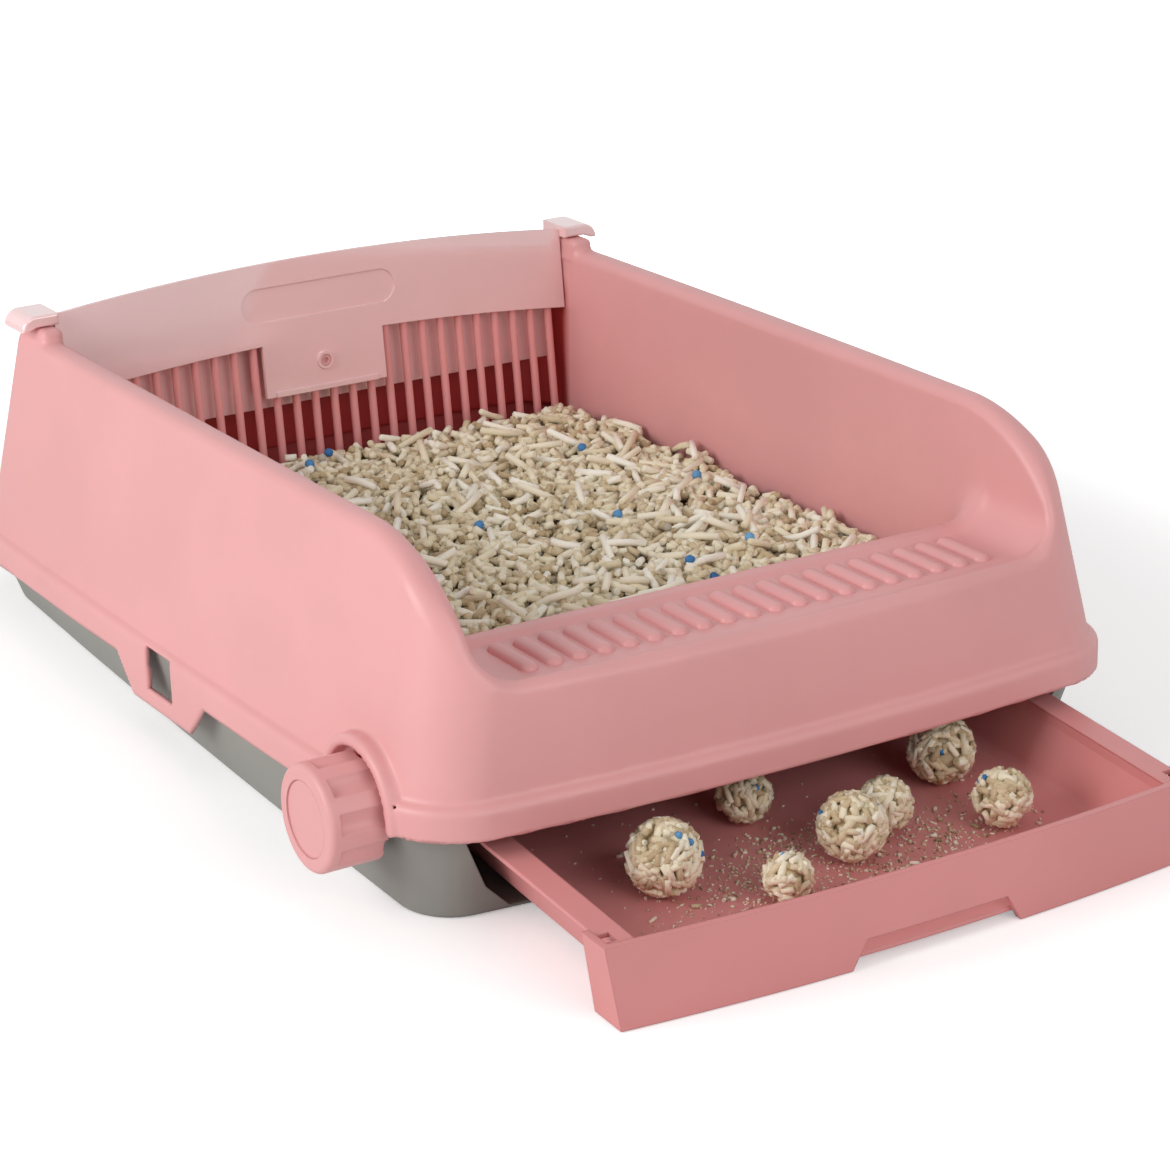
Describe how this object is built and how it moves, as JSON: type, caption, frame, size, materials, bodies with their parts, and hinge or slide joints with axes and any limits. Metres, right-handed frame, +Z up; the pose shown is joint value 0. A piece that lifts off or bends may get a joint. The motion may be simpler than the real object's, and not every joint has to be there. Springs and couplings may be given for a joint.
{
  "type": "drawer litter box",
  "caption": "Open-topped litter box with swept side walls, a ribbed front step, a comb at the rear, a side knob that opens a sifting gate and a clump drawer under the front.",
  "frame": {"origin": "centre of the tub's flat underside, on the floor", "axes": "+X to the right seen from the drawer's side, +Y to the back, +Z up"},
  "size_m": [0.4614, 0.6857, 0.1856],
  "materials": {
    "shell_pink": "satin, softly moulded",
    "panel_pink": "glossy, slightly clear",
    "comb_pink": "satin",
    "drawer_pink": "satin",
    "tub_grey": "fine matt",
    "pan_grey": "fine matt",
    "gear_white": "satin",
    "steel": "plated",
    "litter": "pressed plant pellets",
    "clumps": "pressed plant pellets"
  },
  "bodies": {
    "base": {"base_tub": "tub_grey", "litter_pan": "pan_grey", "pan_screws": "steel", "gate_rail_left": "pan_grey", "gate_rail_right": "pan_grey", "gate_rail_screws": "steel", "shaft_bush": "gear_white", "shaft_hangers": "pan_grey", "hanger_screws": "steel", "litter_bed": "litter"},
    "knob": {"knob_body": "shell_pink", "knob_cap": "shell_pink", "knob_screw": "steel", "knob_shaft": "steel", "pinion": "gear_white", "shaft_clips": "steel"},
    "gate": {"gate_plate": "pan_grey", "gate_rack": "gear_white", "gate_rack_screws": "steel"},
    "drawer": {"drawer_tray": "drawer_pink", "drawer_front": "drawer_pink", "waste_clumps": "clumps"},
    "shell": {"upper_shell": "shell_pink"},
    "comb": {"rear_panel": "panel_pink", "comb_grille": "comb_pink", "comb_back_plate": "comb_pink", "comb_screw": "steel", "hook_left": "shell_pink", "hook_right": "shell_pink"}
  },
  "joints": [
    {"name": "drawer_slide", "type": "slide", "parent": "base", "child": "drawer", "axis": [0, -1, 0], "range_m": [-0.096, 0.08]},
    {"name": "knob_turn", "type": "hinge", "parent": "base", "child": "knob", "pos_m": [-0.212, -0.21549, 0.056], "axis": [-1, 0, 0], "range_deg": [0, 315]},
    {"name": "gate_slide", "type": "slide", "parent": "base", "child": "gate", "axis": [0, 0.9986, -0.0523], "range_m": [0, 0.044]},
    {"name": "shell_lift", "type": "slide", "parent": "base", "child": "shell", "axis": [0, 0.0523, 0.9986], "range_m": [0, 0.15]},
    {"name": "comb_lift", "type": "slide", "parent": "shell", "child": "comb", "axis": [0, 0.0523, 0.9986], "range_m": [0, 0.12]}
  ],
  "couplings": [
    {"joint": "gate_slide", "follows": "knob_turn", "m_per_rad": 0.008}
  ]
}
